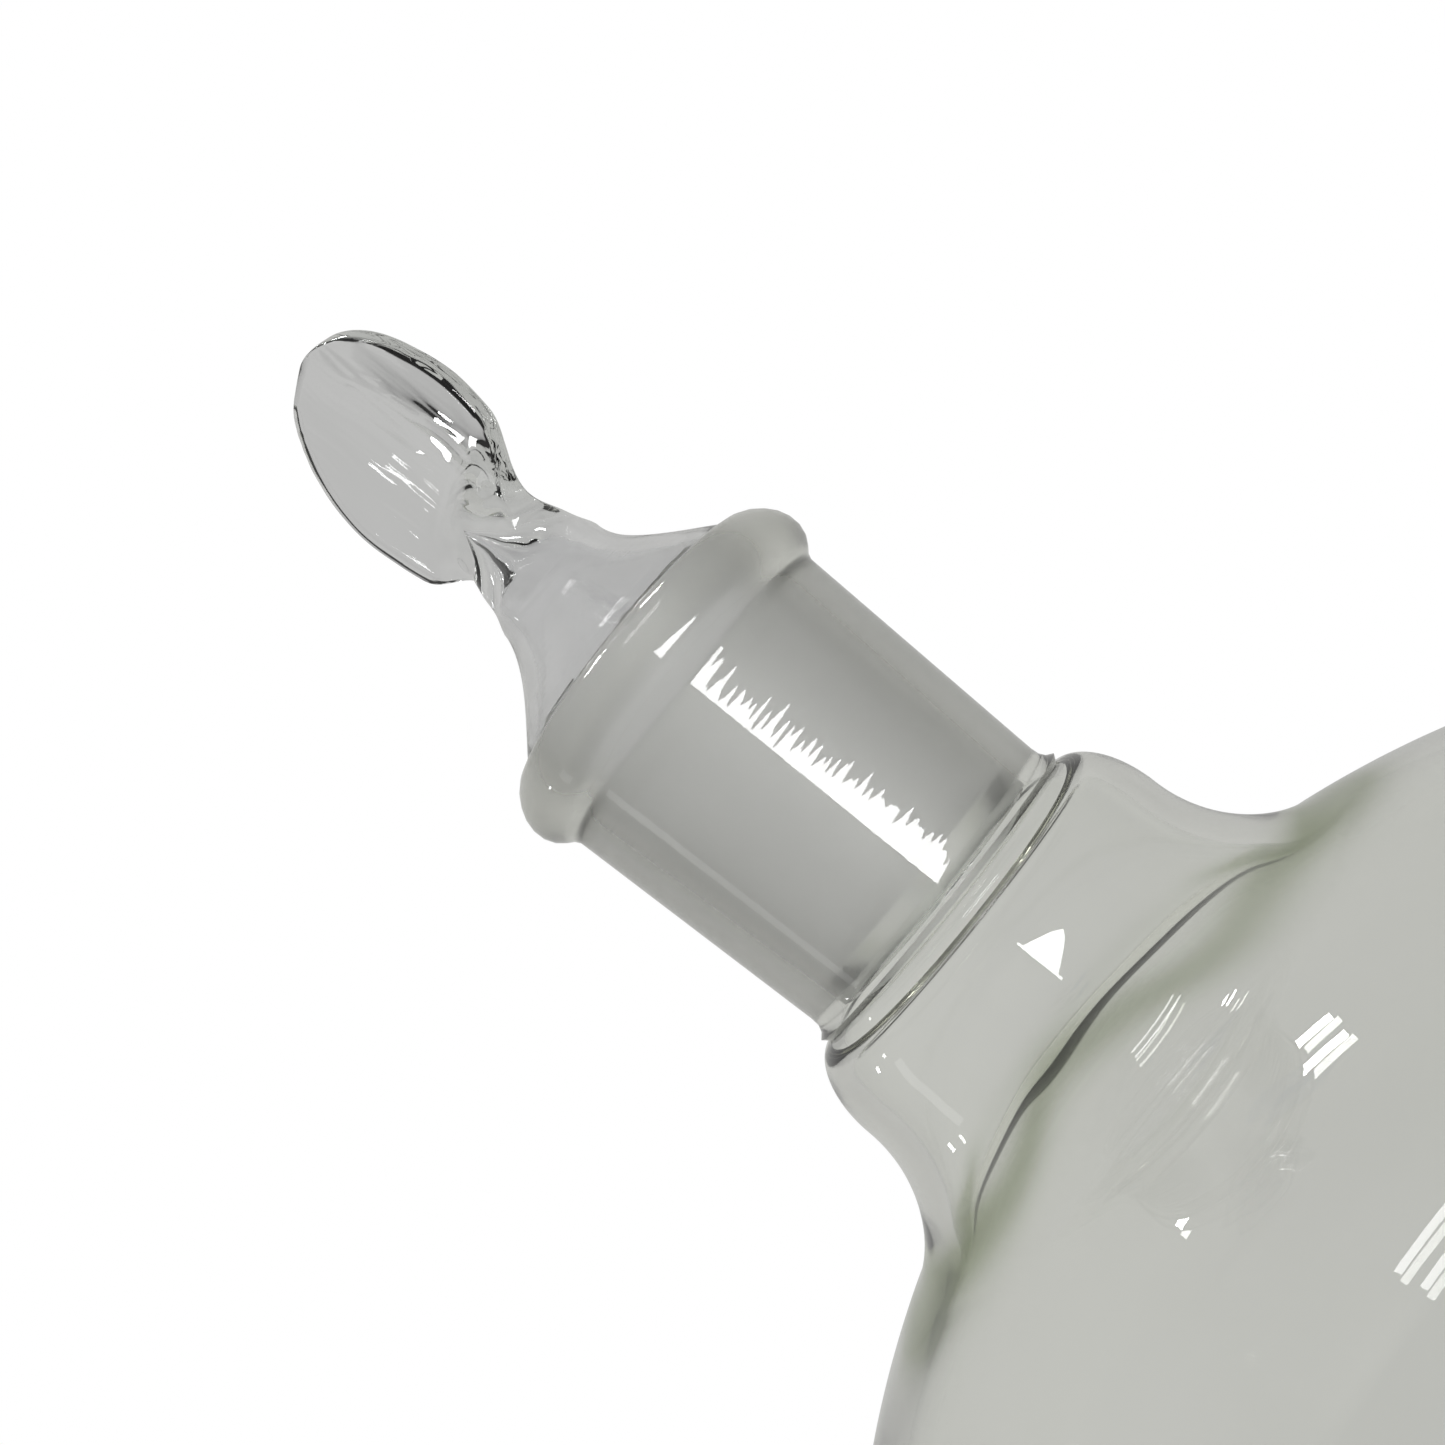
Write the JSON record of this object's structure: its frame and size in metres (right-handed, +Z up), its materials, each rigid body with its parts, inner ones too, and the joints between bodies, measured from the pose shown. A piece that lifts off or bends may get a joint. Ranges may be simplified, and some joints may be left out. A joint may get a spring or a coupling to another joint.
{
  "type": "separatory funnel",
  "caption": "Pear-shaped glass separatory funnel with a ground-joint neck, flat-head glass stopper, PTFE stopcock and bevelled stem, carried by a ring under its bulb.",
  "frame": {"origin": "centre of the 80 mm circle where a support ring carries the bulb's lower cone", "axes": "+Z up along the vessel's axis towards the stopper; the stopcock plug lies along X with its handle towards +X; the stopper's flat head lies in the XZ plane"},
  "size_m": [0.126, 0.126, 0.3751],
  "materials": {
    "vessel_glass": "clear borosilicate, fire-polished",
    "joint_glass": "clear outside, ground matt inside",
    "stopper_glass": "clear pressed head, ground matt cone",
    "ptfe": "smooth waxy white",
    "o_ring_rubber": "matt black",
    "nut_plastic": "moulded, satin"
  },
  "bodies": {
    "vessel": {"ground_socket": "joint_glass", "neck_collar": "vessel_glass", "bulb": "vessel_glass", "stopcock_barrel": "vessel_glass", "stem": "vessel_glass"},
    "stopper": {"stopper": "stopper_glass"},
    "plug": {"stopcock_plug": "ptfe"},
    "seal": {"plug_washer": "ptfe", "plug_o_ring": "o_ring_rubber"},
    "nut": {"retaining_nut": "nut_plastic"}
  },
  "joints": [
    {"name": "stopper_lift", "type": "slide", "parent": "vessel", "child": "stopper", "axis": [0, 0, 1], "range_m": [0, 0.05]},
    {"name": "plug_turn", "type": "hinge", "parent": "vessel", "child": "plug", "pos_m": [0, 0, -0.06783], "axis": [1, 0, 0], "continuous": true},
    {"name": "seal_slide", "type": "slide", "parent": "plug", "child": "seal", "axis": [-1, 0, 0], "range_m": [0, 0.0046]},
    {"name": "nut_turn", "type": "hinge", "parent": "seal", "child": "nut", "pos_m": [-0.026, 0, -0.06783], "axis": [-1, 0, 0], "range_deg": [0, 1080]}
  ],
  "couplings": [
    {"joint": "seal_slide", "follows": "nut_turn", "m_per_rad": 0.00023873}
  ]
}
